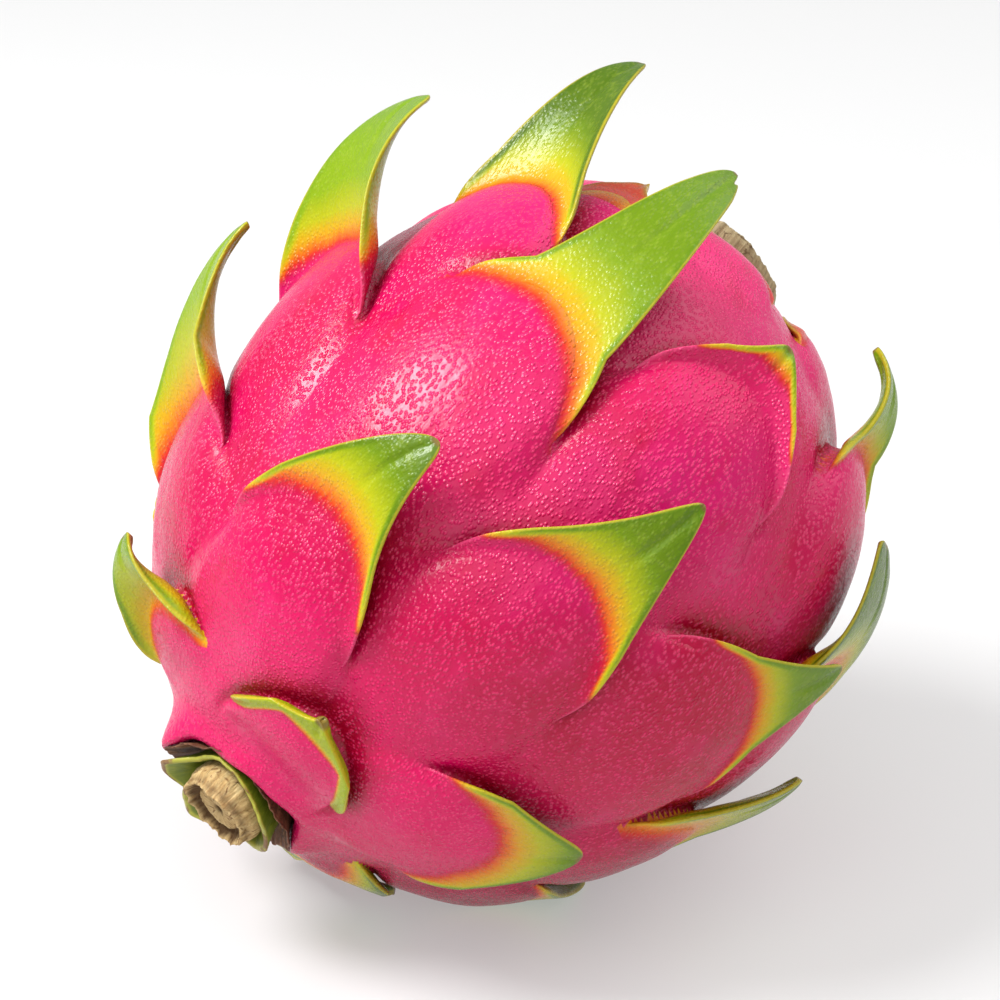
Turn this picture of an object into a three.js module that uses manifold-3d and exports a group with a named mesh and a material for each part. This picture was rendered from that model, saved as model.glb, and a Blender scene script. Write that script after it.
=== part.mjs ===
// A ripe red dragon fruit lying on its side, with its cut stem low at one end and
// the scar of its flower raised at the other. Its rind swells under each scale, and
// each scale runs out into a leafy tongue that stands off the fruit.
//
// Frame: millimetres, +Z up, origin on the ground under the middle of the whole
// outline. The fruit points along +X, with the flower end raised by PITCH.
//
// A place on the fruit is written as a station x along its axis, measured from the
// middle and growing towards the flower end, an angle round the axis, 0 on top and
// 90 on the -Y side, and a height above the plain body.

import * as THREE from "three";
import { mergeVertices } from "three/addons/utils/BufferGeometryUtils.js";
import Module from "manifold-3d";

// Body
const PITCH = 30.5; // how far the flower end is raised, degrees
const HALF_STEM = 50; // middle to the stem end
const HALF_TOP = 49.5; // middle to the flower end
const GIRTH = 42.3; // radius of the plain body, under the scales
const ROUNDNESS = 2.2; // 2 is an ellipse, and more is fuller
const BOW = 4.5; // how far the middle sags out of the straight axis
const BOW_AT = 125; // the side that it sags to, degrees
const BOW_SPAN = 52; // station where the axis is back in line
const GROUND_DROP = 48.6; // from the middle of the axis to the ground
const BODY_ROWS = 20;
const BODY_COLUMNS = 32;

// Stem end
const STEM_FACE = [-54.5, 1.95, 2.45]; // middle of the cut, along the axis, over and to the side
const STEM_WAY = [-0.986, 0.165, 0.018]; // which way the cut looks, in the same axes
const STEM_CUT_RADIUS = 5.4;
const STEM_RIB_RADIUS = 7.6; // out to the green ribs round the foot of the stub
const STEM_RIBS = 5;
const STEM_LENGTH = 13; // from the cut down to the end held in the fruit
const STEM_RIB_DROP = 1.6; // from the cut down to the top of the ribs
const PIT_RADIUS = 8.6;
const PIT_TOP = 5.4; // from the cut down to the pit's mouth
const PIT_DEPTH = 4.2;

// Flower end
const SCAR_RADIUS = 11.4;
const SCAR_RISE = 3.2; // how far it stands out of the rind
const SCAR_SUNK = 4;
const SCAR_CRATER = 1.6; // depth of its hollow middle
const GAP = 0.3; // between pieces that touch

// Scales
const NEAR_GRID = { behind: 4, tongue: 5, columns: 6 };
const FAR_GRID = { behind: 3, tongue: 4, columns: 4 };
const SMALL_GRID = { behind: 2, tongue: 3, columns: 4 };
const SMALL_SPAN = 20; // a scale up to this wide gets the small grid
const EDGE_THICK = 0.9;
const MID_THICK = 2.3;
const ROOT_DEPTH = 4.2; // how far a root is sunk in the body
const FOLD_SWEEP = 0.36; // how far the fold's ends lie back, as a share of the span
const WING_SHARE = 0.42; // how far back the free wings reach, as a share of the span

// One scale: the place of its fold (x, at), its heading, the place over which its
// tip stands and the tip's height, its widest span, the length and height of the
// swelling behind it, how blunt the tongue is, its width at the fold as a share of
// the span, how early it rises and how far it arches.
const scale = (name, fold, turn, tip, span, swelling, blunt, neck, rise, arch) => ({
  name, x: fold[0], at: fold[1], turn, tipX: tip[0], tipAt: tip[1], tipHeight: tip[2],
  span, length: swelling[0], height: swelling[1], blunt, neck, rise, arch,
});

const NEAR_SCALES = [
  scale("shoulder", [11.7, -27.5], 2.2, [25.2, -19.7, 16], 30.6, [36, 3.9], 0.67, 0.78, 0, 1.2),
  scale("top", [28.7, -1.4], 0.3, [40.3, -0.5, 18.3], 21.9, [32, 4], 0.57, 0.73, 0, 0),
  scale("great", [13.1, 24.4], 23.8, [36.6, 32.8, 12.2], 30.5, [38, 3.3], 0.56, 0.58, 0, 0),
  scale("left_high", [-12.2, -45.4], -8.3, [4.7, -31.3, 14.1], 31.9, [28, 3.6], 0.4, 0.83, 0, 1),
  scale("left_low", [-38, -32.8], -12, [-32.1, -34.6, 6.6], 19.7, [11, 2.3], 0.62, 0.65, 0.57, 1),
  scale("front_left", [-24.4, 15.5], 17, [-11.6, 26.1, 8.7], 29.6, [27, 3.6], 0.4, 0.69, 0.35, 0),
  scale("front", [-13.8, 54.9], 12.4, [2, 58.9, 8.3], 28.4, [32, 3.6], 0.29, 0.66, 0.73, 0),
  scale("right_high", [19.8, 57.3], 7, [25.3, 57.6, 7.6], 28.5, [34, 3.6], 0.33, 0.48, 0.72, 0),
  scale("right_edge", [31.8, 96.3], -9.4, [40, 88.6, 9.3], 22, [32, 3.6], 0.69, 0.43, 0.73, 1),
  scale("right_long", [10.3, 114.9], -14.7, [21.6, 97.3, 7.2], 29.5, [32, 3.5], 0.62, 0.91, 0.55, 0.3),
  scale("right_low", [-5.5, 94.1], 24, [6.4, 102.5, 7.1], 29.6, [34, 3.6], 0.31, 0.49, 0.39, 0),
  scale("ground_right", [-15.2, 123.2], -5.1, [-2.2, 123, 7.9], 24.8, [28, 3], 0.63, 0.56, 0, 0),
  scale("collar", [-42.5, 40.4], 10.8, [-40.5, 38.2, 5], 29.3, [11, 3], 0.17, 0.55, 0, 0),
  scale("ground_front", [-37.5, 94], 31.7, [-30.6, 102, 5], 25.7, [20, 3.2], 0.41, 0.79, 0.28, 0),
  scale("under_stem", [-45.7, 170.6], 18.1, [-40.7, 174.3, 3.7], 19, [10, 2.4], 0.11, 0.86, 0, 0),
  scale("under_front", [-33, 152], 30, [-23, 160, 5], 22, [22, 3.0], 0.42, 0.62, 0.3, 0),
  scale("crown_near", [37, 10], 0, [41, 10, 3.4], 14, [14, 2.4], 0.1, 0.62, 0.3, 0),
];

// The far side carries the same spirals on: each row starts at a fold and climbs
// round the fruit by equal steps.
const FAR_ROWS = [
  { name: "keel", first: [-14, 176], step: [7, 37.5], count: 4, reach: 11, lift: 9.5, span: 27, swelling: [30, 3.1] },
  { name: "heel", first: [-31, 197], step: [4.5, 41.5], count: 3, reach: 11, lift: 7.5, span: 27, swelling: [22, 3.1] },
  { name: "back", first: [16, 160], step: [3.5, 39.2], count: 4, reach: 12, lift: 10, span: 27, swelling: [32, 3.1] },
  { name: "brow", first: [34, 145], step: [0.7, 40], count: 5, reach: 7, lift: 5.5, span: 19, swelling: [18, 2.6] },
  { name: "stem_side", first: [-46, 215], step: [2, 40], count: 2, reach: 6, lift: 5, span: 17, swelling: [9, 2.6] },
  { name: "crown", first: [43.6, 42], step: [0, 51.5], count: 7, reach: 4.4, lift: 2.3, span: 17, swelling: [14, 1.9] },
];
const FAR_SEED = 7;
const FAR_WANDER = 2; // how far a fold strays from its row, mm and degrees

const rad = THREE.MathUtils.degToRad;
const clamp = THREE.MathUtils.clamp;
const smooth = (a, b, t) => THREE.MathUtils.smoothstep(t, a, b);

// The fruit's own axes.
const AXIS = new THREE.Vector3(Math.cos(rad(PITCH)), 0, Math.sin(rad(PITCH)));
const OVER = new THREE.Vector3(-Math.sin(rad(PITCH)), 0, Math.cos(rad(PITCH)));
const SIDE = new THREE.Vector3(0, 1, 0);
const outward = (angle) =>
  OVER.clone().multiplyScalar(Math.cos(angle)).addScaledVector(SIDE, -Math.sin(angle));
const SAG = outward(rad(BOW_AT));

function bodyRadius(x) {
  const t = clamp(Math.abs(x) / (x < 0 ? HALF_STEM : HALF_TOP), 0, 1);
  return GIRTH * Math.sqrt(Math.max(1 - t ** ROUNDNESS, 0));
}

// Length along the body's outline from the middle to each station, as a table that
// is fine near the ends, where the outline turns.
const OUTLINE_STEPS = 400;
const OUTLINE = (() => {
  const stations = [];
  for (let i = -OUTLINE_STEPS; i <= OUTLINE_STEPS; i++) {
    const half = i < 0 ? HALF_STEM : HALF_TOP;
    stations.push(half * Math.sin((i / OUTLINE_STEPS) * (Math.PI / 2)));
  }
  const lengths = [0];
  for (let i = 1; i < stations.length; i++) {
    const rise = bodyRadius(stations[i]) - bodyRadius(stations[i - 1]);
    lengths.push(lengths[i - 1] + Math.hypot(stations[i] - stations[i - 1], rise));
  }
  const middle = lengths[OUTLINE_STEPS];
  return { stations, lengths: lengths.map((v) => v - middle) };
})();

function lookUp(keys, values, key) {
  const last = keys.length - 1;
  if (key <= keys[0]) return values[0];
  if (key >= keys[last]) return values[last];
  let low = 0;
  let high = last;
  while (high - low > 1) {
    const half = (low + high) >> 1;
    if (keys[half] > key) high = half;
    else low = half;
  }
  const share = (key - keys[low]) / (keys[high] - keys[low]);
  return values[low] + share * (values[high] - values[low]);
}
const alongOf = (x) => lookUp(OUTLINE.stations, OUTLINE.lengths, x);
const stationOf = (along) => lookUp(OUTLINE.lengths, OUTLINE.stations, along);

// The point over station x and angle (radians) at a height above the plain body.
const SLOPE_STEP = 0.05;
function pointOver(x, angle, height) {
  const before = Math.max(x - SLOPE_STEP, -HALF_STEM);
  const after = Math.min(x + SLOPE_STEP, HALF_TOP);
  const slope = (bodyRadius(after) - bodyRadius(before)) / (after - before);
  const steep = Math.hypot(1, slope);
  const bow = BOW * (1 - (x / BOW_SPAN) ** 2);
  return AXIS.clone()
    .multiplyScalar(x - (slope / steep) * height)
    .addScaledVector(outward(angle), bodyRadius(x) + height / steep)
    .addScaledVector(SAG, bow);
}

// A small repeatable random number generator.
function seeded(seed) {
  let state = seed;
  return () => {
    state = (state * 16807) % 2147483647;
    return state / 2147483647;
  };
}

function farScales() {
  const random = seeded(FAR_SEED);
  const stray = () => (random() * 2 - 1) * FAR_WANDER;
  return FAR_ROWS.flatMap((row) =>
    Array.from({ length: row.count }, (_, k) => {
      const x = row.first[0] + k * row.step[0] + (row.name === "crown" ? 0 : stray());
      const at = row.first[1] + k * row.step[1] + stray();
      const lift = row.lift * (1 + 0.06 * stray());
      const tipX = stationOf(alongOf(x) + row.reach);
      return scale(row.name + "_" + (k + 1), [x, at], 0, [tipX, at + stray(), lift],
        row.span, row.swelling, 0.4, 0.64, 0.4, 0.6);
    }),
  );
}

// What a scale's shape is worked out from, besides its own numbers.
function measured(s) {
  const turn = rad(s.turn);
  const ahead = alongOf(s.tipX) - alongOf(s.x);
  const middleRadius = Math.max(bodyRadius((s.x + s.tipX) / 2) + s.tipHeight / 2, 8);
  const across = rad(s.tipAt - s.at) * middleRadius;
  return {
    ...s,
    turn,
    along: alongOf(s.x),
    at: rad(s.at),
    radius: bodyRadius(s.x),
    reach: ahead * Math.cos(turn) + across * Math.sin(turn),
    sway: across * Math.cos(turn) - ahead * Math.sin(turn),
    half: s.span / 2,
    sweep: (FOLD_SWEEP * s.span) / (s.span / 2) ** 2,
    wings: WING_SHARE * s.span,
  };
}

// Half the scale's width at d along it: d is 0 at the fold and grows to the tip.
function halfWidth(s, d) {
  const root = s.neck * s.half;
  if (d > 0) {
    const p = clamp(d / s.reach, 0, 1);
    return root * ((1 - s.blunt) * (1 - p) ** 1.7 + s.blunt * Math.sqrt(1 - p ** 2.4));
  }
  const b = clamp(-d / s.wings, 0, 1);
  const c = clamp((-d - s.wings) / Math.max(s.length - s.wings, 1), 0, 1);
  const wing = root + (s.half - root) * (1 - (1 - b) ** 1.6);
  return wing * (1 + 0.1 * Math.sin(Math.PI * c)) * (1 - 0.45 * c * c);
}

// Height of the scale's outer face at d along and q across.
function scaleHeight(s, d, q) {
  const back = Math.min(d, 0);
  const ramp = Math.sin((Math.PI / 2) * clamp((back + s.length) / (s.length * 0.85), 0, 1)) ** 1.3;
  const droop = 1 - 0.45 * clamp(q / s.half, -1.2, 1.2) ** 2;
  const p = clamp((d + s.sweep * q * q) / s.reach, 0, 1);
  const climb = (1 - (1 - p) ** (1.7 + 0.8 * s.rise)) ** (1.5 - 0.45 * s.rise);
  return s.height * ramp * droop + (s.tipHeight - s.height) * climb + s.arch * Math.sin(Math.PI * p);
}

// The point of the scale's outer face at d along and u across, from -1 to 1.
function scalePoint(s, d, u) {
  const q = u * halfWidth(s, d);
  let height = scaleHeight(s, d, q);
  // Behind the wings the sides run down into the body.
  height -= smooth(s.wings * 0.7, s.wings * 1.3, -d) * (height + 0.7) * Math.abs(u) ** 4;
  const offset = q + s.sway * clamp(d / s.reach, 0, 1) ** 1.6;
  const x = stationOf(s.along + d * Math.cos(s.turn) - offset * Math.sin(s.turn));
  const sideways = d * Math.sin(s.turn) + offset * Math.cos(s.turn);
  const round = Math.max(bodyRadius(x), 0.8 * s.radius) + Math.max(height, s.height);
  return pointOver(x, s.at + sideways / round, height);
}

// How thick the scale is at d along and u across: a leaf beyond the fold, and sunk
// into the body behind it.
function scaleThickness(s, d, u) {
  const p = clamp(d / s.reach, 0, 1);
  const leaf = EDGE_THICK + (MID_THICK - EDGE_THICK) * (1 - u * u) * (1 - 0.6 * p);
  const sunk = s.height + ROOT_DEPTH;
  const held = EDGE_THICK + (sunk - EDGE_THICK) * smooth(0.05, 0.4, 1 - Math.abs(u));
  return THREE.MathUtils.lerp(held, leaf, smooth(-3.5, 1.5, d));
}

function scaleGeometry(s, grid) {
  const stations = [];
  for (let i = 0; i < grid.behind; i++) stations.push(-s.length * (1 - i / grid.behind));
  for (let i = 0; i <= grid.tongue; i++) {
    stations.push(s.reach * Math.min(i / grid.tongue, 0.99));
  }
  const columns = grid.columns + 1;
  const outer = [];
  const inner = [];
  const step = 0.05;
  for (const d of stations) {
    for (let j = 0; j < columns; j++) {
      const u = -1 + (2 * j) / grid.columns;
      const face = scalePoint(s, d, u);
      const ahead = scalePoint(s, d + step, u).sub(scalePoint(s, d - step, u));
      const across = scalePoint(s, d, Math.min(u + step, 1)).sub(scalePoint(s, d, Math.max(u - step, -1)));
      const normal = ahead.cross(across).normalize();
      const thick = scaleThickness(s, d, u);
      outer.push(face);
      inner.push(face.clone().addScaledVector(normal, thick));
    }
  }
  // What would reach below the ground is pressed flat on it.
  outer.forEach((p) => { p.z = Math.max(p.z, -GROUND_DROP); });
  inner.forEach((p) => { p.z = Math.max(p.z, -GROUND_DROP + EDGE_THICK); });

  const positions = [...outer, ...inner].flatMap((p) => [p.x, p.y, p.z]);
  const under = outer.length;
  const index = [];
  const rows = stations.length;
  const quad = (a, b, c, d) => index.push(a, b, c, a, c, d);
  for (let i = 0; i + 1 < rows; i++) {
    for (let j = 0; j + 1 < columns; j++) {
      const a = i * columns + j;
      const b = a + columns;
      index.push(a, a + 1, b + 1, a, b + 1, b);
      index.push(under + a, under + b + 1, under + a + 1, under + a, under + b, under + b + 1);
    }
    const left = i * columns;
    const right = left + columns - 1;
    quad(left, left + columns, under + left + columns, under + left);
    quad(right, under + right, under + right + columns, right + columns);
  }
  for (let j = 0; j + 1 < columns; j++) {
    const last = (rows - 1) * columns + j;
    quad(j, under + j, under + j + 1, j + 1);
    quad(last, last + 1, under + last + 1, under + last);
  }
  const geometry = new THREE.BufferGeometry();
  geometry.setAttribute("position", new THREE.Float32BufferAttribute(positions, 3));
  geometry.setIndex(index);
  return geometry;
}

// The plain body: a sphere's grid, laid on the body's outline.
function bodyGeometry() {
  const geometry = new THREE.SphereGeometry(1, BODY_COLUMNS, BODY_ROWS);
  const place = geometry.getAttribute("position");
  const unit = new THREE.Vector3();
  for (let i = 0; i < place.count; i++) {
    unit.fromBufferAttribute(place, i);
    const x = unit.y * (unit.y < 0 ? HALF_STEM : HALF_TOP);
    const p = pointOver(x, Math.atan2(unit.x, unit.z), 0);
    place.setXYZ(i, p.x, p.y, p.z);
  }
  return geometry;
}

const wasm = await Module();
wasm.setup();

function solidOf(geometry) {
  const bare = geometry.clone();
  bare.deleteAttribute("normal");
  bare.deleteAttribute("uv");
  const merged = mergeVertices(bare, 1e-4);
  const made = new wasm.Manifold(new wasm.Mesh({
    numProp: 3,
    vertProperties: new Float32Array(merged.getAttribute("position").array),
    triVerts: new Uint32Array(merged.index.array),
  }));
  return made;
}

function geometryOf(solid) {
  const mesh = solid.getMesh();
  const positions = new Float32Array(mesh.numVert * 3);
  for (let i = 0; i < mesh.numVert; i++) {
    positions.set(mesh.vertProperties.subarray(i * mesh.numProp, i * mesh.numProp + 3), i * 3);
  }
  const geometry = new THREE.BufferGeometry();
  geometry.setAttribute("position", new THREE.BufferAttribute(positions, 3));
  geometry.setIndex(new THREE.BufferAttribute(mesh.triVerts, 1));
  geometry.computeVertexNormals();
  return geometry;
}

// Turns a shape that stands on +Y into one that stands along a direction at a point.
function stood(geometry, point, direction) {
  const up = new THREE.Vector3(0, 1, 0);
  geometry.applyQuaternion(new THREE.Quaternion().setFromUnitVectors(up, direction));
  return geometry.translate(point.x, point.y, point.z);
}

// A direction or a place given along the fruit's axis, over it and to its side.
const alongAxes = ([ahead, over, side]) =>
  AXIS.clone().multiplyScalar(ahead).addScaledVector(OVER, over).addScaledVector(SIDE, side);
const STEM_CUT = alongAxes(STEM_FACE);
const STEM_AXIS = alongAxes(STEM_WAY).normalize();
const FLOWER_END = pointOver(HALF_TOP, 0, 0);

// The stem stub, bigger by grow where it is a hole for itself: a round woody core
// with a ribbed collar that is widest where the stub leaves the fruit.
function stemGeometry(grow) {
  const levels = [
    [-STEM_LENGTH - grow, STEM_CUT_RADIUS, 0],
    [-STEM_LENGTH * 0.55, STEM_RIB_RADIUS - 1.4, 0.4],
    [-STEM_LENGTH * 0.3, STEM_RIB_RADIUS - 0.9, 0.9],
    [-STEM_RIB_DROP, STEM_CUT_RADIUS + 0.3, 1.1],
    [-STEM_RIB_DROP * 0.7, STEM_CUT_RADIUS, 0.3],
    [0, STEM_CUT_RADIUS - 0.2, 0],
    [0.01, STEM_CUT_RADIUS - 1, 0],
    [-0.5, STEM_CUT_RADIUS - 1.8, 0],
  ];
  const steps = STEM_RIBS * 6;
  const positions = [];
  for (const [height, radius, rib] of levels) {
    for (let i = 0; i < steps; i++) {
      const angle = (i / steps) * Math.PI * 2;
      const r = radius + grow + rib * Math.cos(STEM_RIBS * angle);
      positions.push(r * Math.sin(angle), height, r * Math.cos(angle));
    }
  }
  positions.push(0, levels[0][0], 0, 0, levels[levels.length - 1][0] + grow, 0);
  const foot = levels.length * steps;
  const index = [];
  for (let i = 0; i < steps; i++) {
    const next = (i + 1) % steps;
    for (let k = 0; k + 1 < levels.length; k++) {
      const a = k * steps;
      const b = a + steps;
      index.push(a + i, a + next, b + next, a + i, b + next, b + i);
    }
    const top = (levels.length - 1) * steps;
    index.push(foot, next, i, foot + 1, top + i, top + next);
  }
  const geometry = new THREE.BufferGeometry();
  geometry.setAttribute("position", new THREE.Float32BufferAttribute(positions, 3));
  geometry.setIndex(index);
  geometry.computeVertexNormals();
  return stood(geometry, STEM_CUT, STEM_AXIS);
}

// The round pit in which the stem stands.
function pitGeometry() {
  const rim = -PIT_TOP;
  const profile = [
    [0, rim - PIT_DEPTH], [PIT_RADIUS * 0.7, rim - PIT_DEPTH], [PIT_RADIUS * 0.9, rim - PIT_DEPTH * 0.5],
    [PIT_RADIUS, rim], [PIT_RADIUS * 1.3, rim + 3 * PIT_DEPTH], [0, rim + 3 * PIT_DEPTH],
  ];
  const points = profile.map(([r, y]) => new THREE.Vector2(r, y));
  return stood(new THREE.LatheGeometry(points, 24), STEM_CUT, STEM_AXIS);
}

// The dry disc left by the flower, with a hollow middle.
function scarGeometry(grow) {
  const r = SCAR_RADIUS + grow;
  const low = -SCAR_SUNK - grow;
  const profile = [
    [0, low], [r * 0.94, low], [r, low + 1.5], [r, SCAR_RISE * 0.5 + grow],
    [r * 0.9, SCAR_RISE + grow], [r * 0.62, SCAR_RISE * 0.8 + grow],
    [r * 0.3, SCAR_RISE - SCAR_CRATER + grow], [0, SCAR_RISE - SCAR_CRATER + grow],
  ];
  const points = profile.map(([x, y]) => new THREE.Vector2(x, y));
  return stood(new THREE.LatheGeometry(points, 28), FLOWER_END, AXIS);
}

function groundGeometry() {
  const size = HALF_STEM * 6;
  return new THREE.BoxGeometry(size, size, size).translate(0, 0, -GROUND_DROP - size / 2);
}

function fruitSolid() {
  let solid = solidOf(bodyGeometry());
  const gridFor = (s, grid) => (s.span > SMALL_SPAN ? grid : SMALL_GRID);
  const scales = [
    ...NEAR_SCALES.map((s) => scaleGeometry(measured(s), gridFor(s, NEAR_GRID))),
    ...farScales().map((s) => scaleGeometry(measured(s), gridFor(s, FAR_GRID))),
  ];
  for (const s of scales) solid = solid.add(solidOf(s));
  return solid
    .subtract(solidOf(pitGeometry()))
    .subtract(solidOf(stemGeometry(GAP)))
    .subtract(solidOf(scarGeometry(GAP)))
    .subtract(solidOf(groundGeometry()));
}

const RIND = new THREE.MeshStandardMaterial({ color: 0xd81b60, roughness: 0.42, metalness: 0 });
const WOOD = new THREE.MeshStandardMaterial({ color: 0xb79a6b, roughness: 0.85, metalness: 0 });
const DRY = new THREE.MeshStandardMaterial({ color: 0xbfae86, roughness: 0.9, metalness: 0 });

const fruit = new THREE.Mesh(geometryOf(fruitSolid()), RIND);
fruit.name = "fruit";
const stem = new THREE.Mesh(stemGeometry(0), WOOD);
stem.name = "stem_stub";
const scar = new THREE.Mesh(scarGeometry(0), DRY);
scar.name = "flower_scar";

// The origin goes on the ground under the middle of the outline.
const dragonFruit = new THREE.Group();
dragonFruit.add(fruit, stem, scar);
const outline = new THREE.Box3().setFromObject(dragonFruit);
const middle = outline.getCenter(new THREE.Vector3());
dragonFruit.position.set(-middle.x, -middle.y, -outline.min.z);

export default dragonFruit;
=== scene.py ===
# A ripe red dragon fruit on a pale studio floor: fine rind and scales built in code
# round the solid model, with their materials, lights and camera.
#
# A place on the fruit is written as in the solid model: a station x along its axis, an
# angle round it, 0 on top and 90 degrees on the near side, and a height above the
# plain body. Lengths are in millimetres until the meshes are made, in metres.

import math

import bpy
import numpy as np
from mathutils import Matrix, Vector, noise


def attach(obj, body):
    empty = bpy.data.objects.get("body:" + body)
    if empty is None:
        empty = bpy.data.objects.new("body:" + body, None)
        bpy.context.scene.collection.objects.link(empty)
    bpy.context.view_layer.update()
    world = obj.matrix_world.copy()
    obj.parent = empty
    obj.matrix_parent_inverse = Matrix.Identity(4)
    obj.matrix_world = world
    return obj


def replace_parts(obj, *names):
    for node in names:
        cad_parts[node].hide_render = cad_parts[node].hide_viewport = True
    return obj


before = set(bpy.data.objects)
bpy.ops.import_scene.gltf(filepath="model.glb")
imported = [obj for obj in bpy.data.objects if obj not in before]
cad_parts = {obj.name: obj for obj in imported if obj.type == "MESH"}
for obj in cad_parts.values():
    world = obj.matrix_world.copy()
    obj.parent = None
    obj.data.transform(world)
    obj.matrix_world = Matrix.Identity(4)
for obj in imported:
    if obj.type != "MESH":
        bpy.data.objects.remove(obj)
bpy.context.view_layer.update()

MM = 0.001

# Body
PITCH = math.radians(30.5)
HALF_STEM, HALF_TOP, GIRTH, ROUNDNESS = 50.0, 49.5, 42.3, 2.2
BOW, BOW_AT, BOW_SPAN = 4.5, math.radians(125), 52.0
SHIFT = np.array([-1.0421, 3.0337, 48.6])  # from the middle of the axis to the origin
BODY_ROWS, BODY_COLUMNS = 215, 440
GRAIN_DRAWN_OUT = 0.6  # how much the skin's grain is drawn out along the fruit
RIPE_CURVE = 7.5  # how far back the green reaches along the edges of a scale, mm

# Scales
FOLD_SWEEP, WING_SHARE = 0.36, 0.42
EDGE_THICK, MID_THICK = 0.5, 2.1
NEAR_GRID = {"behind": 24, "tongue": 40, "columns": 48}
FAR_GRID = {"behind": 18, "tongue": 26, "columns": 36}

# Stem and flower ends, along the axis, over it and to its side
STEM_FACE = (-54.5, 1.95, 2.45)
STEM_WAY = (-0.986, 0.165, 0.018)

# name, fold x, fold angle, turn, tip x, tip angle, tip height, span, swelling length
# and height, bluntness, neck, rise, arch, then where its green starts beyond the fold
# and over what length, both in mm
NEAR_SCALES = (
    ("shoulder", 11.7, -27.5, 2.2, 25.2, -19.7, 16, 30.6, 36, 3.9, 0.67, 0.78, 0, 1.2, 1.5, 3),
    ("top", 28.7, -1.4, 0.3, 40.3, -0.5, 18.3, 21.9, 32, 4, 0.57, 0.73, 0, 0, 0.5, 4),
    ("great", 13.1, 24.4, 23.8, 36.6, 32.8, 12.2, 30.5, 38, 3.3, 0.56, 0.58, 0, 0, -0.5, 6),
    ("left_high", -12.2, -45.4, -8.3, 4.7, -31.3, 14.1, 31.9, 28, 3.6, 0.4, 0.83, 0, 1, 2.5, 5),
    ("left_low", -38, -32.8, -12, -32.1, -34.6, 6.6, 19.7, 11, 2.3, 0.62, 0.65, 0.57, 1, -0.5, 4.5),
    ("front_left", -24.4, 15.5, 17, -11.6, 26.1, 8.7, 29.6, 27, 3.6, 0.4, 0.69, 0.35, 0, 3.3, 4.7),
    ("front", -13.8, 54.9, 12.4, 2, 58.9, 8.3, 28.4, 32, 3.6, 0.29, 0.66, 0.73, 0, 2.5, 3.5),
    ("right_high", 19.8, 57.3, 7, 25.3, 57.6, 7.6, 28.5, 34, 3.6, 0.33, 0.48, 0.72, 0, 3.4, 2),
    ("right_edge", 31.8, 96.3, -9.4, 40, 88.6, 9.3, 22, 32, 3.6, 0.69, 0.43, 0.73, 1, 0.8, 2.2),
    ("right_long", 10.3, 114.9, -14.7, 21.6, 97.3, 7.2, 29.5, 32, 3.5, 0.62, 0.91, 0.55, 0.3, 1.5, 4),
    ("right_low", -5.5, 94.1, 24, 6.4, 102.5, 7.1, 29.6, 34, 3.6, 0.31, 0.49, 0.39, 0, 1.2, 3),
    ("ground_right", -15.2, 123.2, -5.1, -2.2, 123, 7.9, 24.8, 28, 3, 0.63, 0.56, 0, 0, -0.5, 7),
    ("collar", -42.5, 40.4, 10.8, -40.5, 38.2, 3.9, 29.3, 11, 3, 0.17, 0.55, 0, 0, -2.5, 2),
    ("ground_front", -37.5, 94, 31.7, -30.6, 102, 5, 25.7, 20, 3.2, 0.41, 0.79, 0.28, 0, 2.3, 4.5),
    ("under_stem", -45.7, 170.6, 18.1, -40.7, 174.3, 3.7, 19, 10, 2.4, 0.11, 0.86, 0, 0, -2, 4.5),
    ("under_front", -33, 152, 30, -23, 160, 5, 22, 22, 3.0, 0.42, 0.62, 0.3, 0, 0, 3),
    ("crown_near", 37, 10, 0, 41, 10, 3.4, 14, 14, 2.4, 0.1, 0.62, 0.3, 0, -2.5, 8),
)
# name, first fold, step, count, reach, lift, span, swelling length and height
FAR_ROWS = (
    ("keel", (-14, 176), (7, 37.5), 4, 11, 9.5, 27, 30, 3.1),
    ("heel", (-31, 197), (4.5, 41.5), 3, 11, 7.5, 27, 22, 3.1),
    ("back", (16, 160), (3.5, 39.2), 4, 12, 10, 27, 32, 3.1),
    ("brow", (34, 145), (0.7, 40), 5, 7, 5.5, 19, 18, 2.6),
    ("stem_side", (-46, 215), (2, 40), 2, 6, 5, 17, 9, 2.6),
    ("crown", (43.6, 42), (0, 51.5), 7, 3.4, 0.6, 17, 14, 1.9),
)
FAR_SEED, FAR_WANDER = 7, 2
# bluntness, neck, rise, arch, and where the green starts
FAR_FORMS = {
    "usual": (0.4, 0.64, 0.4, 0.6, 1), "stem_side": (0.4, 0.64, 0.4, 0.6, 4), "crown": (0.8, 0.8, 0, 0, 1),
}
# How deep the green of a scale is, from 0, bright, to 1: partly its own tone and partly painted shade, set
# scale by scale.
GREEN_DEPTH_AND_SHADE = {
    "shoulder": 0, "left_high": 0, "top": 1, "great": 0.45, "left_low": 0.4, "front_left": 0.75,
    "front": 0.6, "right_high": 0.4, "right_edge": 0.3, "right_long": 0.9, "right_low": 0.5,
    "ground_right": 0.7, "ground_front": 0.6, "collar": 0.1, "under_stem": 1,
}
USUAL_DEPTH = 0.5
# Where a tip is split: how far from the midline, and how deep, in mm.
SPLIT_TIPS = {"great": (1.1, 1.3)}
GROOVE_DEPTH = 0.5  # of the fold in front of a swelling

# Pit round the stem: its depth and where its lips are, from the stem's axis
PIT_DEPTH, LIP_AT = 6.5, 10.8
# angle, width, height of the folds of rind round the pit
LIPS = ((-58, 34, 4.2), (135, 26, 1.8), (45, 45, 0.9), (-150, 40, 0.7))
# angle, width, and share by which the pit is narrower there
PIT_NARROWS = ((5, 34, 0.16),)

# Skin: how fine its patterns are, per metre, and how deep, in metres
WANDER_SCALE, PATCH_SCALE, WRINKLE_SCALE, FINE_SCALE, GRAIN_SCALE = 30, 110, 520, 900, 2250
WRINKLE_DEPTH, GRAIN_DEPTH, VEIN_DEPTH = 0.00028, 0.00011, 0.00018

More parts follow.
